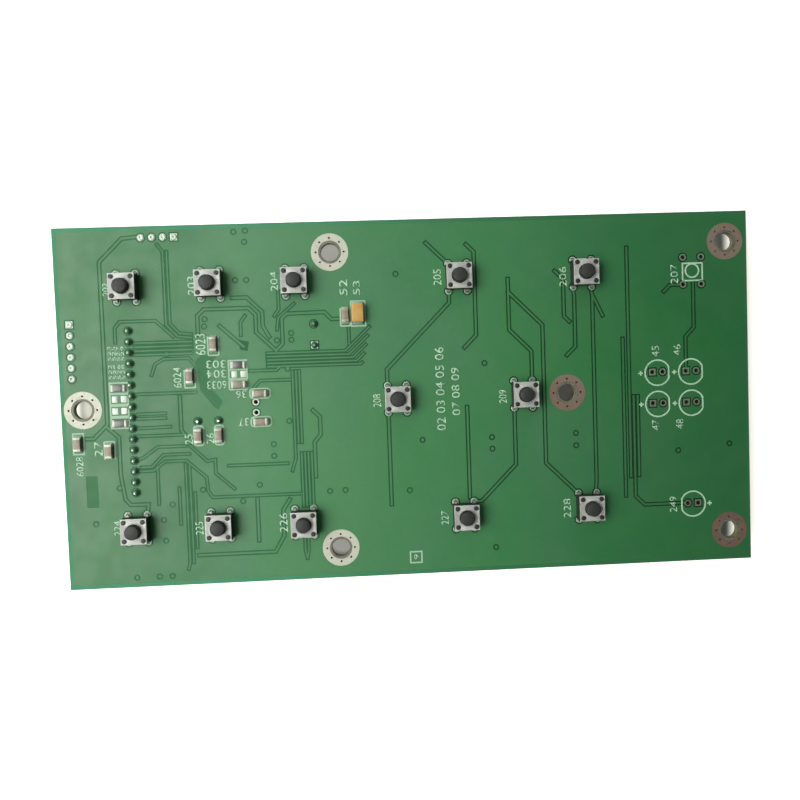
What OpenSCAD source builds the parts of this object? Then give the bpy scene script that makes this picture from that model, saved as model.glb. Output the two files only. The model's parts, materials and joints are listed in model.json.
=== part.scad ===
// Printer control panel board: a laminate with a copper pour, twelve push
// switches, small surface-mount parts, and on its underside a pin header, a
// crystal, a buzzer and a controller chip.
// Board coordinates: x along the long side, y across, z out of the switch side,
// zero at the lower left corner of the underside. in_frame() then moves the
// origin to the middle of the four bolts that hold the right-hand part.

/* [Board] */
// Length of the board
board_w = 165; // [165:1:180]
// Width of the board
board_h = 85; // [85:1:95]
// Thickness of the board
board_t = 1.6; // [1.2:0.2:2.0]
// Bare margin between the copper pour and the edge
pour_margin = 1; // [0.6:0.1:1.4]
// Depth of the gaps etched in the copper
etch_depth = 0.05; // [0.04:0.01:0.1]
// Width of the gaps etched round tracks and pads
etch_gap = 0.3; // [0.2:0.05:0.35]

/* [Tracks] */
// Width of the tracks that join the keys
key_track = 0.5; // [0.4:0.1:0.6]
// Width of the fine tracks near the header
fine_track = 0.35; // [0.25:0.05:0.4]
// Radius of a via's copper
via_r = 0.45; // [0.4:0.05:0.5]

/* [Bolt holes] */
// Radius of the six bolt holes
bolt_r = 2.1; // [2:0.05:2.3]
// Outer radius of the tinned ring round a bolt hole
ring_r = 4.4; // [4:0.1:4.6]
// Inner radius of the tinned ring
ring_start = 2.7; // [2.5:0.05:2.8]
// Height of the bolt columns above each other
bolt_rise = 70.5; // [69:0.5:71]

/* [Push switches] */
// Side of the square switch
switch_side = 6; // [5.8:0.1:6.2]
// Height of the switch's cover above the board
cover_top = 3.5; // [3.3:0.1:3.7]
// Thickness of the cover
cover_t = 0.3; // [0.2:0.05:0.3]
// Height of the plunger's top above the board
plunger_top = 5; // [4.3:0.1:6]
// Radius of the plunger
plunger_r = 1.7; // [1.6:0.05:1.75]
// Travel of the plunger
travel = 0.25; // [0.15:0.05:0.3]
// Length of the legs below the board's top
leg_drop = 3.5; // [3.1:0.1:3.6]

/* [Pin header] */
// Side of a pin
pin_side = 0.64; // [0.6:0.02:0.64]
// Length of the pins below the plastic strip
pin_drop = 6; // [3:0.5:8]

/* [Underside parts] */
// Radius of the buzzer
buzzer_r = 4.8; // [4.5:0.1:5]
// Height of the buzzer
buzzer_t = 5; // [4:0.5:5.5]
// Height of the crystal's can
crystal_t = 3.4; // [2.8:0.1:3.8]
// Side of the controller chip
chip_side = 10; // [9.6:0.1:10.2]

/* [Hidden] */
$fn = 48;
skin = 0.05;          // tin, print and pads stand this far off the board
wall = 0.03;          // wall of a plated hole
top = board_t;

// Bolt holes: two columns of two at the right, and two holes on the middle line
bolt_x = [64.2, 159.6];
mid_bolt_x = [5.1, 120.1];
mid_y = 42.5;
bolt_mid = [(bolt_x[0] + bolt_x[1]) / 2, mid_y];
bolt_places = concat(
    [for (x = bolt_x, s = [-1, 1]) [x, mid_y + s * bolt_rise / 2]],
    [for (x = mid_bolt_x) [x, mid_y]]);
ring_vias = 8;
ring_via_r = 0.25;
ring_via_at = 3.3;

// Push switches, and the place left for one more
switch_places = [
    [16.5, 70.8], [36, 71], [55.8, 71], [94.4, 71], [124.5, 71],
    [79, 42.5], [109.4, 42.5],
    [16.5, 14], [36, 14], [55.8, 13.8], [94.4, 13.8], [124.5, 14.7]];
spare_switch = [151.4, 70.9];
leg_x = 2.25;
leg_y = 3.25;
leg_w = 0.7;
leg_t = 0.3;
leg_foot = 0.25;
leg_slot = 0.5;
leg_tip = 0.3;
base_foot = [4, 3.6, 0.25];
stud_at = 2.2;
stud_r = 0.55;
stud_rise = 0.16;
plunger_gap = 0.12;
plunger_edge = 0.3;
base_top = cover_top - cover_t;
cavity_r = 2.35;
cavity_floor = 0.9;
flange_r = 2.05;
flange_top = base_top - 0.1;
flange_foot = flange_top - 0.8;
dome_top = flange_foot - travel - 0.1;
dome_t = 0.08;
dome_r = 2.2;

// Through holes
hole_r = 0.5;
pad_r = 0.82;
lead_r = 0.25;
plug_dimple_r = 0.25;
pin_pitch = 2.54;
pin_count = 16;
header_x = 16.5;
header_top_y = 60.7;
header_places = [for (i = [0 : pin_count - 1]) [header_x, header_top_y - i * pin_pitch]];
pin_row = [for (i = [0 : 3]) [20.4 + i * pin_pitch, 82.3]];
pin_column = [for (i = [0 : 5]) [3, 62.6 - i * pin_pitch]];
spare_pair = [[45.4, 43], [45.4, 40.5]];
crystal_at = [34.1, 38.9];
crystal_lead = 2.44;
buzzer_at = [59.8, 58.5];
buzzer_lead = 2.5;
led_places = [[142.4, 46.5, 1], [150.7, 46.5, 1], [142.4, 38.9, 1], [150.7, 38.9, 1], [150.6, 14.1, -1]];
led_r = 3.25;
led_flat = 2.95;

function legs_of(p) = [for (sx = [-1, 1], sy = [-1, 1]) [p[0] + sx * leg_x, p[1] + sy * leg_y]];
function pair(p, half) = [[p[0] - half, p[1]], [p[0] + half, p[1]]];
switch_holes = [for (p = switch_places) each legs_of(p)];
crystal_holes = pair(crystal_at, crystal_lead);
buzzer_holes = [for (s = [1, -1]) buzzer_at + [0, s * buzzer_lead]];
function led_hole(p, side) = [p[0] + side * p[2] * pin_pitch / 2, p[1] + 0.2];
round_holes = concat(switch_holes, legs_of(spare_switch), header_places, crystal_holes, spare_pair,
    [for (p = led_places) led_hole(p, 1)], [for (i = [0 : 2]) pin_row[i]],
    [for (i = [1 : 5]) pin_column[i]], [buzzer_holes[0]]);
square_holes = concat([for (p = led_places) led_hole(p, -1)],
    [pin_row[3], pin_column[0], buzzer_holes[1]]);

// Surface-mount parts: [x, y, 1 where the part stands along y]
cap_places = [
    [67.3, 62.8, 1], [36.1, 57, 1], [30.3, 49.6, 1], [10.8, 32.7, 1], [3.7, 34.6, 1],
    [36.5, 35.5, 1], [31.7, 35.5, 1],
    [41.7, 47.3, 0], [46.5, 45, 0], [46.5, 38.3, 0]];
resistor_places = [[41.7, 51.9, 0], [13.6, 47.4, 0], [13.6, 39.1, 0]];
bare_places = [[41.7, 49.7, 0], [13.6, 44.8, 0], [13.6, 42, 0]];
cap_size = [3.2, 1.6, 1.2];
resistor_size = [3.2, 1.6, 0.6];
tantalum_at = [70.3, 63.2];
tantalum_size = [4.3, 3, 2.2];
terminal_len = 0.5;
pad_len = 1.1;
pad_inset = 0.15;
bare_pad = [1.3, 1.5];
bare_pad_at = 1.05;
tantalum_pads = [4.6, 2.3, 1.4];
fillet = 0.4;

// Underside parts
strip_w = 2.5;
strip_t = 2.54;
strip_gap = 0.1;
header_rise = 1.5;
notch = 0.45;
pin_tip = 0.2;
lead_rise = 1;
crystal_base_size = [11, 4.6, 0.5];
crystal_base_gap = 0.15;
crystal_rim = 0.4;
buzzer_gap = 0.2;
buzzer_edge = 0.4;
buzzer_port_r = 0.9;
buzzer_port_depth = 1.2;
chip_at = [47.5, 29.5];
chip_low = -1.55;
chip_high = -0.1;
chip_edge = 0.12;
chip_dot_r = 0.5;
chip_dot_at = 1.4;
lead_pitch = 0.8;
lead_w = 0.34;
leads_a_side = 11;

// Key tracks, by their corners
key_routes = [
    [[87, 79.3], [92.15, 74.25]],
    [[96.6, 78.7], [98.4, 76.9], [98.4, 57.1], [95.5, 54.2]],
    [[92.15, 67.75], [92.15, 65], [76.75, 49.6], [76.75, 45.75]],
    [[106.4, 70.2], [106.4, 58.1], [111.65, 52.8], [111.65, 45.75]],
    [[106.4, 67.1], [114.5, 59], [114.5, 25.6], [122.05, 18.05]],
    [[117.8, 71.8], [119.8, 69.8], [119.8, 60.9], [121.1, 59.6]],
    [[122.05, 67.75], [122.4, 66], [122.4, 53.6], [120.3, 51.5]],
    [[126.55, 67.75], [126.8, 65], [126.8, 21], [126.55, 18.05]],
    [[126.8, 65.9], [129.2, 60.8]],
    [[135.4, 76.8], [135.4, 21.5]],
    [[134, 55], [134, 16.8]],
    [[137.4, 41], [137.4, 21.7]],
    [[136.4, 41], [136.4, 16.6], [138.6, 14.4], [149.4, 14.4]],
    [[151.6, 68.3], [151.6, 57.2], [149.5, 55], [149.5, 46.8]],
    [[149.15, 67.65], [145.9, 67.6], [144.4, 66.1]],
    [[76.75, 39.25], [76.75, 17.2]],
    [[95.7, 39.9], [95.7, 18.1]],
    [[107.15, 39.25], [107.15, 25.6], [98.6, 17.05], [96.65, 17.05]],
    [[19.5, 82.5], [16, 82.2], [10.6, 76.9], [10.6, 38.9], [7.3, 35.7], [3.8, 35.7]],
    [[32.6, 59.3], [32.6, 63.7], [34.2, 65.2], [44.6, 65.2], [46.2, 63.6], [46.2, 59.4],
        [50.7, 55], [52.3, 56.6], [52.3, 62.5], [53.5, 63.6], [62.4, 63.7], [64, 62], [67.4, 62]],
    [[40.9, 67.7], [44.3, 67.7], [47.8, 64.2], [47.8, 60.9], [49.2, 58.3]],
    [[37.7, 61.2], [43.1, 56.2]],
    [[27.7, 44.9], [27.7, 36.9], [29.4, 34.7], [31.7, 34.4]],
    [[58.8, 40.5], [60.4, 38.9], [60.4, 34.7], [58.9, 32.9], [58.9, 24.7]],
    [[10.3, 38.5], [13.1, 35.8], [13.1, 26.9], [13.9, 21.1], [15.1, 19.7], [19.2, 19.7], [18.85, 17.15]],
    [[44.8, 19.9], [44.8, 9.9]],
    [[52.4, 19.4], [50.8, 17], [50.8, 10.8], [48.6, 7], [30.5, 7]]];

// Fine tracks between the header, the chip and the keys
fine_routes = [
    [[24.1, 80.6], [25.3, 78.9], [25.3, 61.9], [27.8, 59.1], [31, 58.7]],
    [[26.2, 78.9], [26.2, 62.1], [28.3, 59.8], [31, 59.5]],
    [[13.4, 58.1], [13.4, 61.5], [14.6, 62.9], [22.9, 62.9], [26.8, 59.1]],
    [[21.4, 50.2], [22.3, 52.7], [24.4, 53.9], [30.2, 53.9], [31.6, 52.1]],
    [[43.7, 63.4], [42.6, 61.9], [42.6, 58.9]],
    [[51.7, 68.9], [51.7, 64.7], [50.6, 63.2]],
    [[55.3, 65.9], [51.5, 62.7], [51.1, 59.9]],
    [[68, 61], [68, 56]],
    [[16.6, 45.36], [18, 45.8], [31.4, 45.8]],
    [[44.2, 50.4], [50.6, 50.4], [51.4, 51.2]],
    [[45.2, 46.5], [46.6, 48], [53.8, 48]],
    [[54.3, 49.9], [54.3, 29.2], [53.4, 26.3]],
    [[38.4, 28.1], [52.3, 28.1]],
    [[16.6, 27.58], [20.7, 27.6], [23.5, 29.7], [28.5, 29.7], [33.1, 25.5], [33.3, 22.3],
        [34.3, 20.7], [55.2, 20.7]],
    [[16.6, 40.28], [17.8, 40], [24.1, 40]],
    [[16.6, 40.28], [17.8, 41.1], [24.1, 41.1]],
    [[16.6, 37.74], [25.1, 37.9]],
    [[16.6, 35.2], [17.4, 35.9], [28.5, 35.9]],
    [[16.6, 30.12], [18.6, 30.8], [22, 33.2], [28.5, 33.2]],
    [[18, 28.5], [20.4, 28.5], [23.2, 31.3], [29.3, 31.3]],
    [[21.7, 28.2], [21.7, 19.7]],
    [[26.6, 23.2], [26.6, 14.7]],
    [[30.2, 21.9], [30.2, 8.9]],
    [[28.3, 28.9], [28.3, 5.3], [27.9, 3.8]],
    [[29.2, 28.9], [29.2, 5.3]],
    [[29.6, 33.2], [33.4, 29.4], [35.3, 29.7], [35.3, 26.4], [39.5, 22.6]]];
bus_step = 0.8;
header_bus = [for (i = [0 : 3]) [[17.8, 57.8 - i * 0.93], [31, 57.8 - i * 0.93]]];
wide_bus = [for (i = [0 : 4]) [[48.6, 51.2 + i * bus_step], [70.6 - i * 0.9, 51.2 + i * bus_step],
    [70.9 + i * 0.5, 51.5 + i * 2.1]]];
mid_bus = [for (i = [1 : 2]) [[54.3 + i * bus_step, 50], [54.3 + i * bus_step, 33]]];
low_bus = [for (i = [0 : 3]) [[55.7 + i * bus_step, 30.4], [55.7 + i * bus_step, 17.7]]];
tail_bus = [for (i = [0 : 1]) [[55.7 + i * bus_step, 10], [55.7 + i * bus_step, 7], [56.1, 5.1]]];

vias = [
    [41.9, 83.1], [44.6, 83.3], [44.3, 80.7], [44.4, 71.8], [41.8, 71.8], [54.4, 59], [54.4, 57.4],
    [51, 57.4], [53.2, 50.6], [34.3, 62.9], [34.1, 61.2], [25.1, 55], [79.6, 72.2], [100.2, 50.3],
    [84.7, 32.4], [101.5, 32.4], [101.5, 29.6], [101.7, 5.6], [122, 32.6], [122, 29.6], [147.2, 27.4],
    [160, 28.6], [81.2, 20.4], [62.1, 21], [65.8, 21.1], [49.2, 32.8], [49.2, 30], [45.5, 23.2],
    [53.1, 38.2], [41.4, 19.5], [12.7, 23.8], [32.1, 22.6], [24.8, 19.4], [6.8, 15.5], [22.6, 15.8],
    [22.9, 10.8], [24, 2.3], [21, 2.3], [15.7, 2.3]];

// Places with no copper
bare_areas = [
    [[5, 19.4], [7.7, 19.4], [7.7, 26.9], [5, 26.9]],
    [[31.8, 53.3], [32.6, 46.3], [35.4, 42.5], [36.5, 41.4], [37.7, 43.4], [34.8, 46.9], [34.8, 51.5],
        [36.7, 54.1], [33.4, 54.7]],
    [[42, 57.9], [42.2, 55.5], [44, 55.1], [44.4, 57.3]]];

// Print: [x, y, width, height, corner radius, open end]
print_line = 0.35;
plus_size = 1.1;
box_prints = [
    [36, 56.8, 2.8, 5.2, 0.4, 1], [30.2, 49.2, 2.8, 4.9, 0.4, 1], [10.8, 32.6, 2.8, 4.9, 0.4, -1],
    [3.7, 34.6, 2.8, 5.2, 0.1], [67.3, 62.6, 2.6, 5, 0.4, 1], [70.4, 63.1, 3.7, 6.2, 0.1],
    [46.5, 45, 5.1, 2.6, 0.9], [46.5, 38.3, 5.1, 2.6, 0.9], [36.5, 35.5, 2.5, 5, 0.9],
    [31.7, 35.5, 2.6, 5, 0.9], [41.5, 51.9, 4.6, 2.5, 0.1], [41.5, 49.7, 4.6, 2.5, 0.1],
    [41.5, 47.2, 4.6, 2.5, 0.4], [151.5, 70.6, 5.2, 4.5, 0.1],
    [13.6, 47.4, 4.5, 2.8, 0.1], [13.6, 44.8, 4.5, 2.8, 0.1], [13.6, 42, 4.5, 2.8, 0.1],
    [13.6, 39.2, 4.5, 2.8, 0.1], [82.2, 4.1, 3.1, 3, 0.1]];

function two(n) = n < 10 ? str("0", n) : str(n);

// ---- frame and small helpers ----

module in_frame() {
    translate([-bolt_mid[0], -bolt_mid[1], 0]) children();
}

module at_each(places, z = 0) {
    for (p = places) translate([p[0], p[1], z]) children();
}

// A part at [x, y, turned]: turned parts stand along y
module at_part(p, z = top + skin) {
    translate([p[0], p[1], z]) rotate(p[2] * 90) children();
}

module block(size) {
    translate([-size[0] / 2, -size[1] / 2, 0]) cube(size);
}

// Two discs joined by a bar, centred, along x
module slot_shape(length, width) {
    square([length - width, width], center = true);
    for (s = [-1, 1]) translate([s * (length - width) / 2, 0]) circle(d = width);
}

// ---- copper ----

function unit(v) = v / norm(v);
function turned(v) = [-v[1], v[0]];
function along(p, i) = unit(p[min(i + 1, len(p) - 1)] - p[min(i, len(p) - 2)]);
function before(p, i) = unit(p[max(i, 1)] - p[max(i, 1) - 1]);

// Sideways step to the edge of a strip at its point i, mitred at a bend
function edge_step(p, i, half) =
    let (a = turned(before(p, i)), b = turned(along(p, i)))
    (a + b) * half / (1 + a * b);

// End points drawn out by the strip's half width
function drawn_out(p, half) = [for (i = [0 : len(p) - 1])
    p[i] - (i == 0 ? along(p, 0) * half : [0, 0])
        + (i == len(p) - 1 ? before(p, i) * half : [0, 0])];

// Outline of a strip along a route
function strip(p, width) =
    let (half = width / 2, q = drawn_out(p, half), last = len(p) - 1)
    concat([for (i = [0 : last]) q[i] + edge_step(p, i, half)],
        [for (i = [last : -1 : 0]) q[i] - edge_step(p, i, half)]);

module copper_marks() {
    for (r = key_routes) polygon(strip(r, key_track));
    for (r = concat(fine_routes, header_bus, wide_bus, mid_bus, low_bus, tail_bus))
        polygon(strip(r, fine_track));
    at_each(vias) rotate(22.5) circle(via_r, $fn = 8);
    at_each(round_holes) rotate(22.5) circle(pad_r / cos(22.5), $fn = 8);
    at_each(square_holes) square(2 * pad_r, center = true);
}

module copper_gaps() {
    difference() {
        union() {
            offset(delta = etch_gap) copper_marks();
            for (a = bare_areas) polygon(a);
            difference() {
                square([board_w, board_h]);
                translate([pour_margin, pour_margin])
                    square([board_w - 2 * pour_margin, board_h - 2 * pour_margin]);
            }
        }
        copper_marks();
    }
}

// ---- board ----

module board() {
    color("seagreen") difference() {
        cube([board_w, board_h, board_t]);
        translate([0, 0, top - etch_depth])
            linear_extrude(1) offset(delta = 0.001) copper_gaps();
        at_each(bolt_places, -1) cylinder(r = bolt_r, h = board_t + 2);
        for (z = [etch_depth - 1, top - etch_depth])
            at_each(bolt_places, z) cylinder(r = ring_start, h = 1);
        at_each(bolt_places, -1) ring_via_drills(board_t + 2);
        at_each(concat(round_holes, square_holes), -1) cylinder(r = hole_r + wall, h = board_t + 2);
    }
}

module ring_via_drills(depth) {
    for (i = [0 : ring_vias - 1])
        rotate(i * 360 / ring_vias) translate([ring_via_at, 0, 0])
            cylinder(r = ring_via_r, h = depth, $fn = 16);
}

// A lining with a flange on both faces of the board
module lining(r, flange) {
    rotate_extrude() polygon([
        [r, -skin], [flange, -skin], [flange, 0], [r + wall, 0],
        [r + wall, top], [flange, top], [flange, top + skin], [r, top + skin]]);
}

module hole_rings() {
    color("wheat") for (z = [-skin, top]) at_each(bolt_places, z) difference() {
        cylinder(r = ring_r, h = skin);
        translate([0, 0, -1]) cylinder(r = ring_start, h = 2);
        translate([0, 0, -1]) ring_via_drills(2);
    }
}

module plated_holes() {
    color("silver") {
        at_each(round_holes) lining(hole_r, pad_r);
        at_each(square_holes) {
            lining(hole_r, pad_r);
            for (z = [-skin, top]) translate([0, 0, z]) difference() {
                block([2 * pad_r, 2 * pad_r, skin]);
                translate([0, 0, -1]) cylinder(r = hole_r, h = 2);
            }
        }
    }
}

// Solder round a lead of radius r: a cone below, a filled hole and a cone above
module solder(r, below, above) {
    low = -skin;
    high = top + skin;
    rim = pad_r - 0.1;
    waist = r + 0.2;
    tip = r + 0.12;
    rotate_extrude() polygon([
        [r, low - below], [tip, low - below], [waist, low - below / 2], [rim, low], [hole_r, low],
        [hole_r, high], [rim, high], [waist, high + above / 2], [tip, high + above], [r, high + above]]);
}

module switch_solder() {
    color("silver") at_each(switch_holes) solder(norm([leg_w, leg_t]) / 2 + 0.01, 1, 0.15);
}

// Solder that fills an empty hole, with a dimple on top
module solder_plug() {
    high = top + skin;
    rim = pad_r - 0.06;
    rotate_extrude() polygon([
        [0, 0], [hole_r, 0], [hole_r, high], [rim, high], [rim - 0.1, high + 0.12],
        [plug_dimple_r, high + 0.15], [plug_dimple_r / 2, high - 0.05], [0, high - 0.05]]);
}

module header_solder() {
    color("silver") {
        at_each(header_places) solder(pin_side / sqrt(2) + 0.0025, 0.02, 1.1);
        at_each(concat(crystal_holes, buzzer_holes)) solder(lead_r + 0.01, 0.02, 0.9);
        at_each(concat(pin_row, pin_column)) solder_plug();
    }
}

// ---- print ----

module rounded(w, h, r) {
    offset(r = r, $fn = 16) square([w - 2 * r, h - 2 * r], center = true);
}

// A box, with its upper or lower line left out where open is 1 or -1
module box_print(w, h, r, open = 0) {
    line = print_line;
    difference() {
        rounded(w, h, r);
        rounded(w - 2 * line, h - 2 * line, max(r - line, 0.05));
        if (open != 0) translate([0, open * h]) square([w + 1, h + 2 * r + line], center = true);
    }
}

module ring_print(r) {
    difference() {
        circle(r, $fn = 32);
        circle(r - print_line, $fn = 32);
    }
}

// A lamp place: a circle with a flat, and a plus by its other side
module led_print(side) {
    chord = 2 * sqrt(led_r * led_r - led_flat * led_flat);
    intersection() {
        ring_print(led_r);
        translate([side * (led_flat - led_r), 0]) square(2 * led_r, center = true);
    }
    translate([side * (led_flat - print_line / 2), 0]) square([print_line, chord], center = true);
    translate([-side * (led_r + 0.9), 0]) {
        square([plus_size, print_line], center = true);
        square([print_line, plus_size], center = true);
    }
}

module print_marks() {
    for (b = box_prints) translate([b[0], b[1]]) box_print(b[2], b[3], b[4], is_undef(b[5]) ? 0 : b[5]);
    for (p = led_places) translate([p[0], p[1]]) led_print(p[2]);
    translate(spare_switch) ring_print(plunger_r + 0.1);
}

module print() {
    color("honeydew") translate([0, 0, top]) linear_extrude(skin) offset(delta = 0.001) difference() {
        print_marks();
        at_each(round_holes) circle(pad_r + 0.1, $fn = 24);
        smd_pads(0.05);
    }
}

// ---- push switch, about its own middle on the board's top ----

module corner_studs(h, r = stud_r) {
    for (x = [-1, 1], y = [-1, 1]) translate([x * stud_at, y * stud_at, 0]) cylinder(r = r, h = h, $fn = 24);
}

module switch_base() {
    color("#222222") {
        difference() {
            union() {
                block(base_foot);
                translate([0, 0, base_foot[2]])
                    block([switch_side - 0.1, switch_side - 0.1, base_top - base_foot[2]]);
                translate([0, 0, 1]) corner_studs(cover_top + stud_rise - 1);
            }
            translate([0, 0, cavity_floor]) cylinder(r = cavity_r, h = cover_top);
            for (x = [-1, 1], y = [-1, 1]) translate([x * leg_x, y * (leg_y - 0.4), -1])
                block([leg_w, leg_slot, 1 + leg_foot + leg_t + 0.05]);
        }
    }
}

module switch_cover() {
    color("gainsboro") difference() {
        translate([0, 0, base_top]) block([switch_side, switch_side, cover_t]);
        cylinder(r = plunger_r + plunger_gap, h = cover_top + 1);
        corner_studs(cover_top + 1);
    }
}

module plunger() {
    edge = plunger_edge;
    color("#3c3c3a") rotate_extrude() polygon([
        [0, flange_foot], [flange_r, flange_foot], [flange_r, flange_top], [plunger_r, flange_top],
        [plunger_r, plunger_top - edge], [plunger_r - edge * 0.3, plunger_top - edge * 0.3],
        [plunger_r - edge, plunger_top], [0, plunger_top]]);
}

// One leg: a foot in the base, bent down through the board to a chamfered tip
module leg() {
    near = leg_y - leg_t / 2;
    far = leg_y + leg_t / 2;
    root = leg_y - 2 * leg_t;
    back = leg_foot + leg_t;
    taper = 0.08;
    bend = 0.1;
    translate([-leg_w / 2, 0, 0]) rotate([90, 0, 90]) linear_extrude(leg_w) polygon([
        [root, leg_foot], [near, leg_foot], [near, leg_tip - leg_drop], [near + taper, -leg_drop],
        [far - taper, -leg_drop], [far, leg_tip - leg_drop], [far, back - bend], [far - bend, back],
        [root, back]]);
}

module switch_legs() {
    color("lightgray") at_each(switch_places, top) for (x = [-leg_x, leg_x])
        translate([x, 0, 0]) {
            leg();
            rotate(180) leg();
        }
}

module snap_domes() {
    t = dome_t;
    color("silver") at_each(switch_places, top) rotate_extrude() polygon([
        [0, dome_top - t], [dome_r / 2, dome_top - 1.5 * t], [dome_r - 0.1, cavity_floor],
        [dome_r, cavity_floor], [dome_r, cavity_floor + t], [dome_r / 2 + 0.1, dome_top - 0.4 * t],
        [0, dome_top]]);
}

// ---- surface-mount parts ----

module chip_body(size) {
    translate([0, 0, 0.02]) block([size[0] - 0.06, size[1] - 0.06, size[2] - 0.04]);
}

module chip_ends(size) {
    for (s = [-1, 1]) difference() {
        translate([s * (size[0] - terminal_len) / 2, 0, 0]) block([terminal_len, size[1], size[2]]);
        chip_body(size);
    }
}

// Outlines of a part's two pads
module pad_pair(at, size) {
    for (s = [-1, 1]) translate([s * at, 0]) square(size, center = true);
}

// Outlines of all pads, each wider by edge on every side
module smd_pads(edge = 0) {
    wider = [2 * edge, 2 * edge];
    for (p = cap_places) at_part(p, 0) pad_pair(cap_size[0] / 2 - pad_inset, [pad_len, cap_size[1]] + wider);
    for (p = resistor_places) at_part(p, 0)
        pad_pair(resistor_size[0] / 2 - pad_inset, [pad_len, resistor_size[1]] + wider);
    for (p = bare_places) at_part(p, 0) pad_pair(bare_pad_at, bare_pad + wider);
    at_part([tantalum_at[0], tantalum_at[1], 1], 0)
        pad_pair(tantalum_pads[0] / 2 - pad_inset, [pad_len, tantalum_pads[1]] + wider);
}

// Solder slope at both ends of a part
module end_solder(size) {
    for (s = [0, 180]) rotate(s)
        translate([size[0] / 2, size[1] / 2 - 0.05, 0]) rotate([90, 0, 0]) linear_extrude(size[1] - 0.1)
            polygon([[0, 0], [fillet, 0], [fillet * 0.4, size[2] * 0.25], [0, size[2] * 0.7]]);
}

module ceramic_capacitors() {
    color("rosybrown") for (p = cap_places) at_part(p) chip_body(cap_size);
}

module capacitor_ends() {
    color("silver") for (p = cap_places) at_part(p) chip_ends(cap_size);
}

module resistors() {
    color("dimgray") for (p = resistor_places) at_part(p) chip_body(resistor_size);
}

module resistor_ends() {
    color("silver") for (p = resistor_places) at_part(p) chip_ends(resistor_size);
}

module smd_solder() {
    color("silver") {
        translate([0, 0, top]) linear_extrude(skin) smd_pads();
        for (p = cap_places) at_part(p) end_solder(cap_size);
        for (p = resistor_places) at_part(p) end_solder(resistor_size);
        for (p = bare_places, s = [-1, 1]) at_part(p, top) translate([s * bare_pad_at, 0, 0])
            block([bare_pad[0] - 0.3, bare_pad[1] - 0.3, 2 * skin]);
        at_part([tantalum_at[0], tantalum_at[1], 1]) end_solder(tantalum_pads);
    }
}

module tantalum_capacitor() {
    l = tantalum_size[0];
    w = tantalum_size[1];
    h = tantalum_size[2];
    color("orange") at_part([tantalum_at[0], tantalum_at[1], 1])
        translate([-l / 2, 0, 0]) rotate([90, 0, 90]) linear_extrude(l) polygon([
            [-w / 2 + 0.1, 0.15], [w / 2 - 0.1, 0.15], [w / 2, 1], [w / 2 - 0.1, h - 0.15],
            [w / 2 - 0.25, h], [0.25 - w / 2, h], [0.1 - w / 2, h - 0.15], [-w / 2, 1]]);
}

module tantalum_ends() {
    l = tantalum_size[0];
    w = tantalum_size[1] - 0.8;
    color("silver") at_part([tantalum_at[0], tantalum_at[1], 1]) for (s = [0, 180]) rotate(s)
        translate([0, w / 2, 0]) rotate([90, 0, 0]) linear_extrude(w) polygon([
            [l / 2 - 0.8, 0], [l / 2 + 0.15, 0], [l / 2 + 0.15, 1.2], [l / 2, 1.2],
            [l / 2, 0.15], [l / 2 - 0.8, 0.15]]);
}

// ---- underside ----

module header_strip() {
    strip_len = pin_count * pin_pitch;
    low = header_top_y + pin_pitch / 2 - strip_len;
    color("#1c1c1c") difference() {
        translate([header_x - strip_w / 2, low, -strip_t - strip_gap]) cube([strip_w, strip_len, strip_t]);
        for (i = [0 : pin_count], s = [-1, 1])
            translate([header_x + s * strip_w / 2, low + i * pin_pitch, -strip_t - 1])
                rotate(45) block([notch, notch, strip_t + 2]);
        at_each(header_places, -strip_t - 1) block([pin_side, pin_side, strip_t + 2]);
    }
}

// Outline of a pin from the side, with chamfered tips
function pin_side_view(low, high) = let (h = pin_side / 2, c = pin_tip) [
    [-h, low + 2 * c], [c - h, low], [h - c, low], [h, low + 2 * c],
    [h, high - 2 * c], [h - c, high], [c - h, high], [-h, high - 2 * c]];

module header_pins() {
    low = -strip_t - strip_gap - pin_drop;
    high = top + header_rise;
    color("gold") at_each(header_places) intersection() {
        translate([0, pin_side / 2, 0]) rotate([90, 0, 0]) linear_extrude(pin_side)
            polygon(pin_side_view(low, high));
        translate([-pin_side / 2, 0, 0]) rotate([90, 0, 90]) linear_extrude(pin_side)
            polygon(pin_side_view(low, high));
    }
}

// A straight round lead, from the given depth up through the board
module round_lead(depth) {
    translate([0, 0, -depth]) cylinder(r = lead_r, h = depth + top + lead_rise, $fn = 24);
}

module crystal_base() {
    size = crystal_base_size;
    color("silver") {
        translate([crystal_at[0], crystal_at[1], -crystal_base_gap - size[2]])
            linear_extrude(size[2]) slot_shape(size[0], size[1]);
        at_each(crystal_holes) round_lead(crystal_base_gap + 0.05);
    }
}

module crystal_can() {
    foot = crystal_base_gap + crystal_base_size[2];
    long = crystal_base_size[0] - 2 * crystal_rim;
    wide = crystal_base_size[1] - 2 * crystal_rim;
    color("gainsboro") translate([crystal_at[0], crystal_at[1], 0]) {
        translate([0, 0, 0.2 - crystal_t]) linear_extrude(crystal_t - 0.2 - foot) slot_shape(long, wide);
        translate([0, 0, -crystal_t]) linear_extrude(0.3) slot_shape(long - crystal_rim, wide - crystal_rim);
    }
}

module buzzer() {
    low = -buzzer_t - buzzer_gap;
    edge = buzzer_edge;
    color("#202020") translate([buzzer_at[0], buzzer_at[1], 0]) rotate_extrude() polygon([
        [0, low + buzzer_port_depth], [buzzer_port_r, low + buzzer_port_depth], [buzzer_port_r, low],
        [buzzer_r - edge, low], [buzzer_r, low + edge], [buzzer_r, -buzzer_gap - edge],
        [buzzer_r - edge, -buzzer_gap], [0, -buzzer_gap]]);
}

module buzzer_pins() {
    color("silver") at_each(buzzer_holes) round_lead(buzzer_gap);
}

function chip_side_view(h) = let (m = (chip_low + chip_high) / 2, e = chip_edge) [
    [e - h, chip_low], [h - e, chip_low], [h, m], [h - e, chip_high], [e - h, chip_high], [-h, m]];

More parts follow.
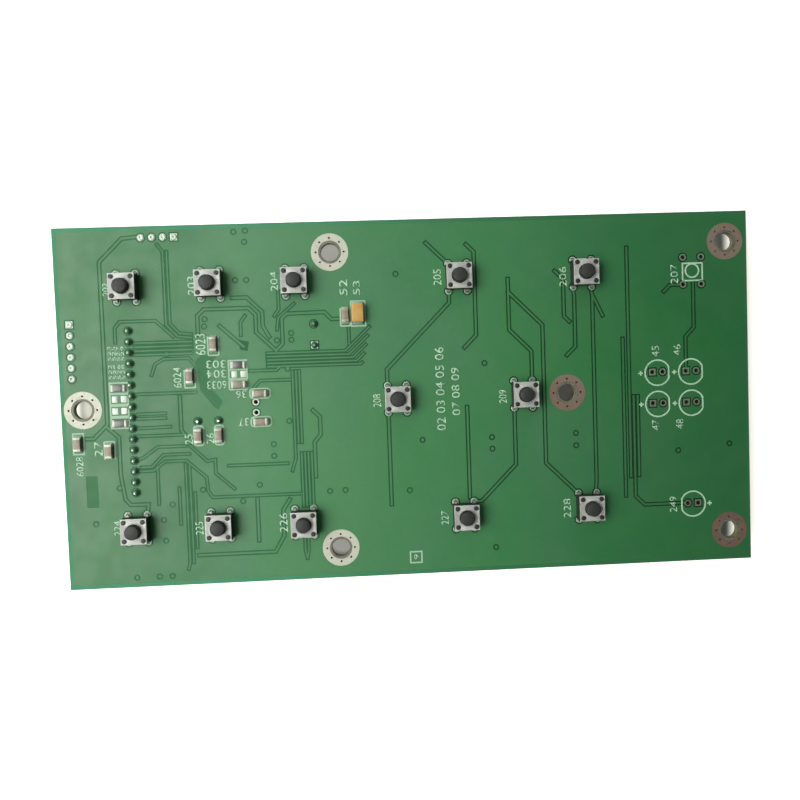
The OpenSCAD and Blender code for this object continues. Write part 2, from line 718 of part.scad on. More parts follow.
module controller_chip() {
    h = chip_side / 2;
    dot = h - chip_dot_at;
    color("#242424") translate([chip_at[0], chip_at[1], 0]) difference() {
        intersection() {
            translate([0, h, 0]) rotate([90, 0, 0]) linear_extrude(chip_side) polygon(chip_side_view(h));
            translate([-h, 0, 0]) rotate([90, 0, 90]) linear_extrude(chip_side) polygon(chip_side_view(h));
        }
        translate([dot, dot, chip_low - 0.9]) cylinder(r = chip_dot_r, h = 1);
    }
}

// One lead: out of the body, bent towards the board, with its foot on it
module chip_lead() {
    h = chip_side / 2;
    m = (chip_low + chip_high) / 2;
    t = 0.15;
    translate([0, lead_w / 2, 0]) rotate([90, 0, 0]) linear_extrude(lead_w) polygon([
        [h, m + t / 2], [h, m - t / 2], [h + 0.32, m - t / 2], [h + 0.5, -t],
        [h + 1, -t], [h + 1, 0], [h + 0.4, 0], [h + 0.22, m + t / 2]]);
}

module chip_leads() {
    color("silver") translate([chip_at[0], chip_at[1], 0])
        for (side = [0 : 3], i = [0 : leads_a_side - 1])
            rotate(side * 90) translate([0, (i - (leads_a_side - 1) / 2) * lead_pitch, 0]) chip_lead();
}

// ---- nodes ----

in_frame() board();
in_frame() hole_rings();
in_frame() plated_holes();
in_frame() switch_solder();
in_frame() header_solder();
in_frame() print();
for (n = [1 : len(switch_places)]) {
    p = [switch_places[n - 1]];
    in_frame() at_each(p, top) switch_base();
    in_frame() at_each(p, top) switch_cover();
    in_frame() at_each(p, top) plunger();
}
in_frame() switch_legs();
in_frame() snap_domes();
in_frame() ceramic_capacitors();
in_frame() capacitor_ends();
in_frame() resistors();
in_frame() resistor_ends();
in_frame() smd_solder();
in_frame() tantalum_capacitor();
in_frame() tantalum_ends();
in_frame() header_strip();
in_frame() header_pins();
in_frame() crystal_can();
in_frame() crystal_base();
in_frame() buzzer();
in_frame() buzzer_pins();
in_frame() controller_chip();
in_frame() chip_leads();
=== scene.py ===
"""Looks of the printer control board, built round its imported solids.

Places on the board are in millimetres from its lower left corner, as seen from the
switch side, and spot() turns them into metres in the shared frame.
"""
import json
import math

import bpy
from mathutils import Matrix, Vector


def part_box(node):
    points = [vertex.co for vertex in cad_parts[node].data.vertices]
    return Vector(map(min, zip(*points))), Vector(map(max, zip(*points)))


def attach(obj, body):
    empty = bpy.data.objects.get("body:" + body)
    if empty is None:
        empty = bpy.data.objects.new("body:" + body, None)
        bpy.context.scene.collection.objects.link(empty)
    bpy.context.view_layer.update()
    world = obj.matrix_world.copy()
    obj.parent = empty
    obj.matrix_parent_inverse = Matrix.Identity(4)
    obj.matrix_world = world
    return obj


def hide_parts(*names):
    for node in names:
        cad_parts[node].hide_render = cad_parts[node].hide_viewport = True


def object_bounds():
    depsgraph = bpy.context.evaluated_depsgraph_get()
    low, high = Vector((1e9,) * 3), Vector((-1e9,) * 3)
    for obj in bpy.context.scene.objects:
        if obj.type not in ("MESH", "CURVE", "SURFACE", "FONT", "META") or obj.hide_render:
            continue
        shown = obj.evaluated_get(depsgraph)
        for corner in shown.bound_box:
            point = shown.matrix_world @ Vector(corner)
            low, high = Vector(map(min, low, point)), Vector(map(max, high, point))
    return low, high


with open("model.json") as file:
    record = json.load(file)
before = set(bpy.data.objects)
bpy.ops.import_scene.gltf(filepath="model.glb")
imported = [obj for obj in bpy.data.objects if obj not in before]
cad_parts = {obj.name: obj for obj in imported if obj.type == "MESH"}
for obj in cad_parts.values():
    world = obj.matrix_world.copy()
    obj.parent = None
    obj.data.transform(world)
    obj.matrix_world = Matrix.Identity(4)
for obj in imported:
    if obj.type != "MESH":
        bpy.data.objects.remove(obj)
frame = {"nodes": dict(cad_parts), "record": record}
cad_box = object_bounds()
bpy.ops.object.select_all(action="DESELECT")

MM = 0.001
BOARD_LOW, BOARD_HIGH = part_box("board")
TOP = BOARD_HIGH.z
FLOOR = cad_box[0][2]
SWITCHES = [f"{number:02d}" for number in range(1, 13)]

# Measures of the standard parts, in millimetres
PITCH = 2.54
HEADER_PINS = 16
SWITCH_FEET = (2.25, 3.25)
CRYSTAL_LEADS = 2.44
BUZZER_LEADS = 2.5


def spot(x, y, above=0.0):
    """A place in board millimetres, and a height above the board's top, in metres."""
    return Vector((BOARD_LOW.x + x * MM, BOARD_LOW.y + y * MM, TOP + above * MM))


def board_place(place):
    """A place in the frame, in board millimetres."""
    return (place[0] - BOARD_LOW.x) / MM, (place[1] - BOARD_LOW.y) / MM


def middle_of(node):
    low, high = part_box(node)
    return board_place((low + high) / 2)


def bolt_places():
    """The middles of the bolt holes, from the record's bolt patterns."""
    places = []
    for mount in frame["record"]["mounts"]:
        if mount["kind"] == "bolt_pattern":
            x, y = board_place(mount["pos_m"])
            dims = mount["dims"]
            half_x, half_y = dims["spacing_x_mm"] / 2, dims.get("spacing_y_mm", 0) / 2
            rows = (-1, 1) if dims["count"] == 4 else (0,)
            places += [(x + a * half_x, y + b * half_y) for a in (-1, 1) for b in rows]
    return places


BOLTS = bolt_places()
SWITCH_PLACES = [middle_of(f"plunger_{number}") for number in SWITCHES]
header_x, header_y = middle_of("header_pins")
HEADER = [(header_x, header_y + PITCH * ((HEADER_PINS - 1) / 2 - i)) for i in range(HEADER_PINS)]
can_x, can_y = middle_of("crystal_can")
buzzer_x, buzzer_y = middle_of("buzzer")
LEADS = [(can_x + side * CRYSTAL_LEADS, can_y) for side in (-1, 1)]
LEADS += [(buzzer_x, buzzer_y + side * BUZZER_LEADS) for side in (-1, 1)]
# The row of four and the column of six holes that solder fills
PLUGGED = [(20.4 + PITCH * i, 82.3) for i in range(4)]
PLUGGED += [(3, 62.6 - PITCH * i) for i in range(6)]


# ---- camera, light and floor ----

LENS = 30.58
SENSOR = 36
NEAREST = 5 * MM
CAMERA_PLACE = (-0.03917, 0.00606, 0.16394)
CAMERA_TURN = (-2.158, -2.504, -2.038)


def make_camera():
    data = bpy.data.cameras.new("camera")
    data.lens = LENS
    data.sensor_width = SENSOR
    data.clip_start = NEAREST
    camera = bpy.data.objects.new("camera", data)
    camera.location = CAMERA_PLACE
    camera.rotation_euler = [math.radians(angle) for angle in CAMERA_TURN]
    bpy.context.scene.collection.objects.link(camera)
    bpy.context.scene.camera = camera
    bpy.context.scene.view_settings.view_transform = "Standard"


def soft_light(name, place, target, size, power, tint=(1, 1, 1), cone=180):
    """A rectangular lamp of a power in watts, which shines inside a cone in degrees."""
    data = bpy.data.lights.new(name, "AREA")
    data.spread = math.radians(cone)
    data.shape = "RECTANGLE"
    data.size, data.size_y = size
    data.energy = power
    data.color = tint
    lamp = bpy.data.objects.new(name, data)
    lamp.location = place
    lamp.rotation_euler = (Vector(target) - Vector(place)).to_track_quat("-Z", "Y").to_euler()
    bpy.context.scene.collection.objects.link(lamp)


def make_lights():
    middle = (BOARD_LOW + BOARD_HIGH) / 2
    soft_light("left_softbox", (-0.25, 0, 0.245), (-0.08, 0, 0), (0.5, 0.28), 0.74,
               tint=(0.97, 1, 0.95), cone=72)
    soft_light("back_softbox", (-0.02, 0.45, 0.3), middle, (0.5, 0.2), 0.6)


def make_world():
    """A dim room that lights the board softly, and looks white to the camera."""
    world = bpy.data.worlds.new("studio")
    bpy.context.scene.world = world
    world.use_nodes = True
    tree = world.node_tree
    tree.nodes.clear()
    seen = add(tree, "LightPath").outputs["Is Camera Ray"]
    room = add(tree, "Background", {"Color": (0.95, 0.98, 1, 1), "Strength": 0.13})
    white = add(tree, "Background", {"Color": (1, 1, 1, 1), "Strength": 1.0})
    mix = add(tree, "MixShader", {0: seen, 1: room.outputs[0], 2: white.outputs[0]})
    out = add(tree, "OutputWorld")
    tree.links.new(mix.outputs[0], out.inputs["Surface"])


FLOOR_SIZE = 8
FLOOR_GAP = 0.02 * MM
PAPER = (0.86, 0.85, 0.82, 1)
# Painted shade: the darker colour of the paper under the board
PAINTED_SHADE_PAPER = (0.3, 0.29, 0.25, 1)


def make_floor():
    """Pale paper that glows to white round the board, with painted shade under it and painted
    pools of light under the bolt holes.
    """
    bpy.ops.mesh.primitive_plane_add(size=FLOOR_SIZE, location=(0, 0, FLOOR - FLOOR_GAP))
    floor = bpy.context.object
    floor.name = "floor"
    material = bpy.data.materials.new("floor_paper")
    material.use_nodes = True
    tree = material.node_tree
    tree.nodes.clear()
    place = add(tree, "TexCoord").outputs["Object"]
    tooth = bumped(tree, noise(tree, place, 900), 0.1, 0.1)
    inside = inside_board(tree, place)
    # under marks the paper under the board and just round it, which takes the painted shade
    # colour.
    under = spread(tree, inside, -1.9 * MM, 1 * MM)
    tone = mixed(tree, under, PAPER, PAINTED_SHADE_PAPER)
    paper = add(tree, "BsdfDiffuse", {"Color": tone, "Normal": tooth})
    # Painted shade under the board, but for painted pools of light under the bolt holes.
    painted_glow_mask = 0.0
    for x, y in BOLTS:
        foot = Vector((*spot(x, y).xy, 0))
        away = add(tree, "VectorMath", {0: place, 1: foot}, operation="DISTANCE").outputs["Value"]
        painted_glow_mask = calc(tree, "MAXIMUM", painted_glow_mask, spread(tree, away, 3 * MM, 5 * MM, 1, 0))
    # For glossy rays the painted glow lies under the whole board, so that the underside mirrors a
    # faintly bright floor.
    rays = add(tree, "LightPath")
    painted_glow_mask = calc(tree, "MAXIMUM", painted_glow_mask, rays.outputs["Is Glossy Ray"])
    # Painted light: the glow under the board is stronger towards the header end.
    dim = spread(tree, axes(tree, place)[0], -60 * MM, 0, 0.34, 0.06)
    dim = calc(tree, "MULTIPLY", painted_glow_mask, dim)
    # The glow grows with the distance from the board, so that the far floor is white too.
    clear_of_board = spread(tree, inside, -0.5, -0.1, 1.05, 0.75)
    shade = add(tree, "Mix", {0: under, 2: clear_of_board, 3: dim}).outputs[0]
    glow = add(tree, "Emission", {"Color": (0.95, 0.93, 0.86, 1), "Strength": shade})
    both = add(tree, "AddShader", {0: paper.outputs[0], 1: glow.outputs[0]})
    seen = calc(tree, "MAXIMUM", rays.outputs["Is Camera Ray"], rays.outputs["Is Glossy Ray"])
    mix = add(tree, "MixShader", {0: seen, 1: paper.outputs[0], 2: both.outputs[0]})
    # From below, the floor is clear and the underside shows.
    below = add(tree, "NewGeometry").outputs["Backfacing"]
    clear = add(tree, "BsdfTransparent").outputs[0]
    both_sides = add(tree, "MixShader", {0: below, 1: mix.outputs[0], 2: clear})
    out = add(tree, "OutputMaterial")
    tree.links.new(both_sides.outputs[0], out.inputs["Surface"])
    floor.data.materials.append(material)


# ---- shader nodes ----

def feed(tree, node, inputs):
    """Links a node's inputs to sockets, or sets them to values."""
    for name, value in inputs.items():
        if isinstance(value, bpy.types.NodeSocket):
            tree.links.new(value, node.inputs[name])
        else:
            node.inputs[name].default_value = value


def add(tree, kind, inputs=None, **settings):
    """Puts a node in a tree, with its settings and its inputs."""
    node = tree.nodes.new("ShaderNode" + kind)
    for name, value in settings.items():
        setattr(node, name, value)
    feed(tree, node, inputs or {})
    return node


def calc(tree, operation, a, b=0.0, c=0.0):
    return add(tree, "Math", {0: a, 1: b, 2: c}, operation=operation).outputs[0]


def spread(tree, value, low, high, start=0.0, end=1.0):
    """A value from low to high, mapped smoothly from start to end."""
    node = add(tree, "MapRange", {"Value": value, "From Min": low, "From Max": high,
                                  "To Min": start, "To Max": end}, interpolation_type="SMOOTHSTEP")
    return node.outputs["Result"]


def mixed(tree, factor, first, second):
    """A colour between two others."""
    return add(tree, "Mix", {0: factor, 6: first, 7: second}, data_type="RGBA").outputs[2]


def noise(tree, place, scale, detail=3.0, rough=0.55, turn=0.0, stretch=(1, 1, 1)):
    if stretch != (1, 1, 1) or turn:
        place = add(tree, "Mapping", {"Vector": place, "Scale": stretch,
                                      "Rotation": (0, 0, turn)}).outputs[0]
    node = add(tree, "TexNoise", {"Vector": place, "Scale": scale, "Detail": detail,
                                  "Roughness": rough})
    return node.outputs["Fac"]


def colour(code):
    """A display colour such as #2f6b3c as the linear colour that shaders take."""
    parts = [int(code[i:i + 2], 16) / 255 for i in (1, 3, 5)]
    linear = [c / 12.92 if c <= 0.04045 else ((c + 0.055) / 1.055) ** 2.4 for c in parts]
    return (*linear, 1.0)


def shader_group(name, inputs, outputs):
    """An empty node group with the named inputs and outputs, and its two end nodes."""
    tree = bpy.data.node_groups.new(name, "ShaderNodeTree")
    for label, kind, value in inputs:
        socket = tree.interface.new_socket(label, in_out="INPUT", socket_type="NodeSocket" + kind)
        if value is not None:
            socket.default_value = value
    for label, kind in outputs:
        tree.interface.new_socket(label, in_out="OUTPUT", socket_type="NodeSocket" + kind)
    start = tree.nodes.new("NodeGroupInput")
    end = tree.nodes.new("NodeGroupOutput")
    return tree, start.outputs, end.inputs


def use(tree, group, inputs):
    """Puts one of the shared effects in a tree."""
    node = tree.nodes.new("ShaderNodeGroup")
    node.node_tree = group
    feed(tree, node, inputs)
    return node.outputs


def make_grain_group():
    """Fine unevenness of a moulded, coated or plated surface."""
    tree, start, end = shader_group(
        "surface_grain",
        [("Place", "Vector", None), ("Scale", "Float", 1000.0), ("Pits", "Float", 0.3)],
        [("Height", "Float"), ("Mask", "Float")])
    fine = noise(tree, start["Place"], start["Scale"], 4.0, 0.5)
    pits = add(tree, "TexVoronoi", {"Vector": start["Place"], "Scale": start["Scale"]})
    depth = calc(tree, "MULTIPLY", pits.outputs["Distance"], start["Pits"])
    tree.links.new(calc(tree, "ADD", fine, depth), end["Height"])
    tree.links.new(fine, end["Mask"])
    return tree


def make_blotch_group():
    """A base colour with soft blotches of another one."""
    tree, start, end = shader_group(
        "blotches",
        [("Place", "Vector", None), ("Base", "Color", (0.5, 0.5, 0.5, 1)),
         ("Blotch", "Color", (0.3, 0.3, 0.3, 1)), ("Scale", "Float", 100.0),
         ("Cover", "Float", 0.5), ("Strength", "Float", 1.0)],
        [("Color", "Color")])
    broad = noise(tree, start["Place"], start["Scale"], 5.0, 0.6)
    above = calc(tree, "SUBTRACT", broad, calc(tree, "SUBTRACT", 1.0, start["Cover"]))
    share = calc(tree, "MULTIPLY", spread(tree, above, -0.12, 0.12), start["Strength"])
    tree.links.new(mixed(tree, share, start["Base"], start["Blotch"]), end["Color"])
    return tree


def make_dust_group():
    """A thin film of dust and a few specks over a colour."""
    tree, start, end = shader_group(
        "dust",
        [("Place", "Vector", None), ("Color", "Color", (0.5, 0.5, 0.5, 1)),
         ("Film", "Float", 0.1), ("Specks", "Float", 0.3)],
        [("Color", "Color")])
    film = noise(tree, start["Place"], 45.0, 4.0, 0.6)
    film = calc(tree, "MULTIPLY", spread(tree, film, 0.3, 0.75), start["Film"])
    # A speck lies in the middle of about one cell in six.
    cells = add(tree, "TexVoronoi", {"Vector": start["Place"], "Scale": 420.0})
    speck = spread(tree, cells.outputs["Distance"], 0.1, 0.05)
    draw = add(tree, "SeparateColor", {0: cells.outputs["Color"]}).outputs[0]
    speck = calc(tree, "MULTIPLY", speck, calc(tree, "GREATER_THAN", draw, 0.82))
    speck = calc(tree, "MULTIPLY", speck, start["Specks"])
    mask = calc(tree, "MAXIMUM", film, speck)
    tree.links.new(mixed(tree, mask, start["Color"], colour("#b9b7a8")), end["Color"])
    return tree


def make_scuff_group():
    """Hair-fine scratches across a metal surface."""
    tree, start, end = shader_group(
        "scuffs",
        [("Place", "Vector", None), ("Scale", "Float", 600.0)],
        [("Height", "Float"), ("Mask", "Float")])
    lines = []
    for turn, stretch in ((0.5, (0.06, 1, 1)), (1.9, (0.05, 1, 1))):
        streak = noise(tree, start["Place"], start["Scale"], 2.0, 0.5, turn, stretch)
        lines.append(spread(tree, streak, 0.62, 0.72))
    both = calc(tree, "MAXIMUM", *lines)
    tree.links.new(both, end["Mask"])
    tree.links.new(calc(tree, "SUBTRACT", 1.0, both), end["Height"])
    return tree


GRAIN = make_grain_group()
BLOTCHES = make_blotch_group()
DUST = make_dust_group()
SCUFFS = make_scuff_group()


def start_material(name, **settings):
    """A new material: its tree, its Principled shader with plain settings, and its place."""
    material = bpy.data.materials.new(name)
    material.use_nodes = True
    tree = material.node_tree
    principled = tree.nodes["Principled BSDF"]
    for setting, value in settings.items():
        socket = setting.replace("_", " ").title().replace("Ior", "IOR")
        principled.inputs[socket].default_value = value
    place = add(tree, "TexCoord").outputs["Object"]
    return material, tree, principled.inputs, place


def blotched(tree, place, base, blotch, scale, cover, strength):
    """A colour with soft blotches of another one."""
    return use(tree, BLOTCHES, {"Place": place, "Base": base, "Blotch": blotch, "Scale": scale,
                                "Cover": cover, "Strength": strength})["Color"]


def grained(tree, into, place, scale, pits, smooth, rough, strength, depth):
    """Fine grain: sets the roughness, from smooth to rough, and gives the bumped normal."""
    grain = use(tree, GRAIN, {"Place": place, "Scale": scale, "Pits": pits})
    tree.links.new(spread(tree, grain["Mask"], 0.3, 0.7, smooth, rough), into["Roughness"])
    return bumped(tree, grain["Height"], strength, depth)


def bumped(tree, height, strength, distance, under=None):
    """A bump of a depth in millimetres, over another one where there is one."""
    inputs = {"Height": height, "Strength": strength, "Distance": distance * MM}
    if under is not None:
        inputs["Normal"] = under
    return add(tree, "Bump", inputs).outputs[0]


def axes(tree, place):
    """The x, y and z of a place."""
    parts = add(tree, "SeparateXYZ", {0: place}).outputs
    return parts[0], parts[1], parts[2]


def inside_board(tree, place):
    """How far a place lies inside the board's outline; less than 0 outside it."""
    x, y, _ = axes(tree, place)
    across = calc(tree, "MINIMUM", calc(tree, "SUBTRACT", x, BOARD_LOW.x),
                  calc(tree, "SUBTRACT", BOARD_HIGH.x, x))
    along = calc(tree, "MINIMUM", calc(tree, "SUBTRACT", y, BOARD_LOW.y),
                 calc(tree, "SUBTRACT", BOARD_HIGH.y, y))
    return calc(tree, "MINIMUM", across, along)


def within(tree, x, y, low_x, high_x, low_y, high_y):
    """1 inside a box given in board millimetres."""
    low, high = spot(low_x, low_y), spot(high_x, high_y)
    across = calc(tree, "COMPARE", x, (low.x + high.x) / 2, (high.x - low.x) / 2)
    along = calc(tree, "COMPARE", y, (low.y + high.y) / 2, (high.y - low.y) / 2)
    return calc(tree, "MULTIPLY", across, along)


# ---- materials ----
# Many change along x, from the header end of the board to its lamp end, as painted light and
# shade.

RIM = 1.02 * MM
GAP_DEPTH = 0.02 * MM
SKIN = 0.07 * MM
RING_DEPTH = 0.1 * MM
# Etched areas too wide to be grooves: low x, high x, low y, high y in board millimetres
BARE_AREAS = [(4, 8.5, 18, 28), (31, 39, 40, 56)]


def between_faces(tree, z, depth):
    """1 deeper than a depth under both faces of the board."""
    return calc(tree, "MULTIPLY", calc(tree, "GREATER_THAN", z, depth),
                calc(tree, "LESS_THAN", z, TOP - depth))


def mask_material():
    """Green mask over copper and laminate: duller on the bare rim, dark in the etched gaps, with
    painted light that is brighter over the middle and fades towards the lamp end.
    """
    material, tree, into, place = start_material("solder_mask", ior=1.5)
    x, y, z = axes(tree, place)
    on_rim = calc(tree, "LESS_THAN", inside_board(tree, place), RIM)
    # far: painted falloff of light from the header end to the lamp end; the grooves and the rim
    # darken along it.
    far = spread(tree, x, -80 * MM, 10 * MM)
    bare = calc(tree, "MAXIMUM", *[within(tree, x, y, *area) for area in BARE_AREAS])
    in_gap = calc(tree, "LESS_THAN", z, TOP - GAP_DEPTH)

    # The green is a little brighter over the middle of the board, as painted light.
    middle = calc(tree, "MULTIPLY", spread(tree, x, -88 * MM, -67 * MM),
                  spread(tree, x, -20 * MM, 46 * MM, 1, 0))
    pour = blotched(tree, place, mixed(tree, middle, colour("#1b602d"), colour("#2d6d3b")),
                    mixed(tree, middle, colour("#1f5c33"), colour("#306941")), 26.0, 0.5, 0.8)
    weave = noise(tree, place, 700.0, 2.0, 0.5)
    pour = mixed(tree, calc(tree, "MULTIPLY", weave, 0.25), pour, colour("#184f28"))
    gap = mixed(tree, far, colour("#1f5936"), colour("#08331a"))
    gap = mixed(tree, calc(tree, "MULTIPLY", bare, 0.5), gap, pour)
    # The bare rim is lighter green than the grooves: its own colour, with painted light that
    # shines through the laminate's edge.
    rim = mixed(tree, far, colour("#2b7450"), colour("#195a32"))
    gap = mixed(tree, on_rim, gap, rim)
    green = mixed(tree, in_gap, pour, gap)
    dusty = use(tree, DUST, {"Place": place, "Color": green, "Film": 0.02, "Specks": 0.03})

    # The board's edge and the walls of its holes show the layers of the laminate.
    fibres = noise(tree, place, 500.0, 3.0, 0.6, stretch=(0.4, 0.4, 14))
    fibres = spread(tree, fibres, 0.35, 0.65)
    laminate = mixed(tree, fibres, colour("#5b5a41"), colour("#83805c"))
    inside = between_faces(tree, z, SKIN)
    tree.links.new(mixed(tree, inside, dusty["Color"], laminate), into["Base Color"])

    plain = calc(tree, "MAXIMUM", on_rim, calc(tree, "MAXIMUM", inside, bare))
    groove = calc(tree, "MAXIMUM", calc(tree, "SUBTRACT", in_gap, plain), 0)
    sheen = spread(tree, far, 0, 1, 0.4, 0.65)
    tree.links.new(calc(tree, "MULTIPLY", groove, sheen), into["Metallic"])
    ripple = noise(tree, place, 240.0, 2.0, 0.5)
    rough = calc(tree, "ADD", spread(tree, ripple, 0.3, 0.7, 0.46, 0.54),
                 calc(tree, "MULTIPLY", in_gap, 0.22))
    rough = add(tree, "Mix", {0: inside, 2: rough, 3: 0.8}).outputs[0]
    tree.links.new(rough, into["Roughness"])
    grain = use(tree, GRAIN, {"Place": place, "Scale": 2600.0, "Pits": 0.2})
    normal = bumped(tree, ripple, 0.25, 0.02)
    tree.links.new(bumped(tree, grain["Height"], 0.12, 0.006, normal), into["Normal"])
    return material


def tin_material(name, fresh, blotch, dim_reflection_tone, darker_reflection_tone, spots):
    """Tin plate: bright at the header end, dim and brown towards the lamp end as a painted
    reflection, with painted shade on the walls inside the holes.
    """
    material, tree, into, place = start_material(name, ior=1.5)
    x, y, z = axes(tree, place)
    # Painted reflection: the plate turns dim and brown towards the lamp end, and browner towards
    # the low side of the board.
    painted_dim_reflection = spread(tree, x, -20 * MM, 5 * MM)
    low = spread(tree, y, 20 * MM, -20 * MM)
    bright = blotched(tree, place, colour(fresh), colour(blotch), 620.0, 0.36, 0.7)
    dull = mixed(tree, low, colour(dim_reflection_tone), colour(darker_reflection_tone))
    dull = blotched(tree, place, dull, colour(spots), 480.0, 0.42, 0.6)
    plate = mixed(tree, painted_dim_reflection, bright, dull)
    # Painted shade: the plate is dark on the walls inside the holes.
    painted_shade_in_hole = between_faces(tree, z, RING_DEPTH)
    tree.links.new(mixed(tree, painted_shade_in_hole, plate, colour("#26301f")), into["Base Color"])
    tree.links.new(spread(tree, painted_dim_reflection, 0, 1, 0.12, 0.2), into["Metallic"])
    normal = grained(tree, into, place, 1500.0, 0.5, 0.46, 0.62, 0.5, 0.02)
    tree.links.new(normal, into["Normal"])
    return material


def painted_reflection_solder_material():
    """Glossy solder painted dark green, as a painted reflection of the dark surroundings and the
    green board.
    """
    material, tree, into, place = start_material("solder_with_painted_reflection", metallic=0.1, ior=1.5)
    painted_reflection_solder = blotched(tree, place, colour("#3a6447"), colour("#547a5e"), 900.0, 0.4, 0.8)
    tree.links.new(painted_reflection_solder, into["Base Color"])
    normal = grained(tree, into, place, 1800.0, 0.3, 0.36, 0.48, 0.3, 0.015)
    tree.links.new(normal, into["Normal"])
    return material


def pin_material():
    """Gold-plated pins, with tinned tips on the switch side of the board."""
    material, tree, into, place = start_material("pin_plating", ior=1.5)
    z = axes(tree, place)[2]
    tinned = spread(tree, z, TOP + 0.2 * MM, TOP + 0.5 * MM)
    gold = blotched(tree, place, colour("#d6b46a"), colour("#c49b50"), 360.0, 0.45, 0.8)
    tree.links.new(mixed(tree, tinned, gold, colour("#c3cfc2")), into["Base Color"])
    tree.links.new(spread(tree, tinned, 0, 1, 1, 0.2), into["Metallic"])
    normal = grained(tree, into, place, 2700.0, 0.3, 0.24, 0.4, 0.25, 0.008)
    tree.links.new(normal, into["Normal"])
    return material


def metal_material(name, tone, shade, rough, metallic=1.0, scale=600.0, scratched=0.5):
    """Plated or rolled metal, with faint cloudiness and fine scratches."""
    material, tree, into, place = start_material(name, metallic=metallic, ior=1.5)
    cloudy = blotched(tree, place, colour(tone), colour(shade), scale * 0.4, 0.45, 0.8)
    lines = use(tree, SCUFFS, {"Place": place, "Scale": scale})
    rubbed = calc(tree, "MULTIPLY", lines["Mask"], 0.25 * scratched)
    tree.links.new(mixed(tree, rubbed, cloudy, colour("#f2f2f0")), into["Base Color"])
    normal = grained(tree, into, place, scale * 3, 0.3, rough - 0.06, rough + 0.08, 0.25, 0.008)
    normal = bumped(tree, lines["Height"], 0.2 * scratched, 0.006, normal)
    tree.links.new(normal, into["Normal"])
    return material


def moulded_material(name, tone, shade, rough, scale, dust, specular=0.5):
    """Moulded plastic or resin: fine matt grain, slight colour change and a little dust."""
    material, tree, into, place = start_material(name, ior=1.5, specular_ior_level=specular)
    cloudy = blotched(tree, place, colour(tone), colour(shade), scale * 0.3, 0.5, 0.8)
    dusty = use(tree, DUST, {"Place": place, "Color": cloudy, "Film": dust, "Specks": dust * 2})
    tree.links.new(dusty["Color"], into["Base Color"])
    normal = grained(tree, into, place, scale * 2.5, 0.5, rough - 0.07, rough + 0.07, 0.4, 0.012)
    tree.links.new(normal, into["Normal"])
    return material


def ink_material(name, near, far):
    """Pale printed ink with a dry, slightly broken surface; its colour changes along the board as
    painted light and shade.
    """
    material, tree, into, place = start_material(name, ior=1.45)
    # Painted light and shade: the ink's tone changes from the header end to the lamp end.
    along = spread(tree, axes(tree, place)[0], -72 * MM, 50 * MM)
    pale = mixed(tree, along, colour(near), colour(far))
    worn = blotched(tree, place, pale, colour("#84a68a"), 1500.0, 0.42, 0.7)
    tree.links.new(worn, into["Base Color"])
    normal = grained(tree, into, place, 4000.0, 0.4, 0.55, 0.7, 0.4, 0.01)
    tree.links.new(normal, into["Normal"])
    return material


# Name: tone, shade, roughness, metallic, scale of the scratches, strength of the scratches
METALS = {
    "bright_solder": ("#b6c2b4", "#97a395", 0.42, 0.15, 900.0, 0.2),
    "dull_solder": ("#929c90", "#778276", 0.46, 0.12, 900.0, 0.2),
    "leg_steel": ("#9b9d97", "#82847e", 0.4, 0.4),
    "spring_steel": ("#b8b8b6", "#9c9c9a", 0.25),
    "cover_steel": ("#a3a49f", "#959692", 0.5, 0.12, 900.0, 0.5),
    "can_steel": ("#c9cac8", "#b3b4b2", 0.26, 0.95, 500.0, 0.8),
    "terminal_tin": ("#9c9d91", "#7c7d72", 0.4, 0.3, 1200.0, 0.3),
}

# Name: tone, shade, roughness, scale of the grain, dust, specular level
MOULDINGS = {
    "bare_laminate": ("#615d53", "#4c4a40", 0.6, 1400.0, 0.05),
    "ceramic": ("#7f7263", "#6b5e50", 0.46, 1500.0, 0.05),
    "glaze": ("#3b3a39", "#4a4846", 0.3, 1300.0, 0.05),
    "amber": ("#b08e44", "#a2743a", 0.46, 700.0, 0.02),
    "black_moulding": ("#1c1c1d", "#242425", 0.45, 800.0, 0.05),
    "chip_resin": ("#232325", "#2b2b2c", 0.55, 1200.0, 0.05),
    "base_plastic": ("#1b1c19", "#232320", 0.54, 1000.0, 0.01, 0.38),
    "plunger_plastic": ("#232422", "#1d1d1c", 0.62, 1000.0, 0.01, 0.42),
}

MATERIALS = {
    "mask": mask_material(),
    "ring_tin": tin_material("ring_tin", "#a9aa9b", "#a08a80", "#7c6e62", "#68564a", "#84604e"),
    "pad_tin": tin_material("pad_tin", "#adb8a8", "#98a393", "#687f68", "#666659", "#5f6a58"),
    "painted_reflection_solder": painted_reflection_solder_material(),
    "pin_plating": pin_material(),
    "ink": ink_material("print_ink", "#88a58c", "#a2c0a5"),
    "number_ink": ink_material("number_ink", "#9ebca2", "#91ae95"),
}
MATERIALS |= {name: metal_material(name, *look) for name, look in METALS.items()}
MATERIALS |= {name: moulded_material(name, *look) for name, look in MOULDINGS.items()}


def paint(piece, name):
    piece.data.materials.clear()
    piece.data.materials.append(MATERIALS[name])


def paint_nodes():
    """The materials of the CAD nodes that show as they are."""
    finishes = {
        "board": "mask", "hole_rings": "ring_tin", "plated_holes": "pad_tin", "print": "ink",
        "switch_legs": "leg_steel", "snap_domes": "spring_steel", "header_pins": "pin_plating",
        "crystal_base": "can_steel", "buzzer_pins": "terminal_tin", "chip_leads": "terminal_tin",
        "tantalum_ends": "bright_solder",
    }
    for node, name in finishes.items():
        paint(frame["nodes"][node], name)


# ---- pieces with rounded edges ----

def only(piece):
    """Selects one piece and makes it active."""
    bpy.ops.object.select_all(action="DESELECT")
    piece.select_set(True)
    bpy.context.view_layer.objects.active = piece


def new_piece(name, mesh):
    piece = bpy.data.objects.new(name, mesh)
    bpy.context.scene.collection.objects.link(piece)
    return piece


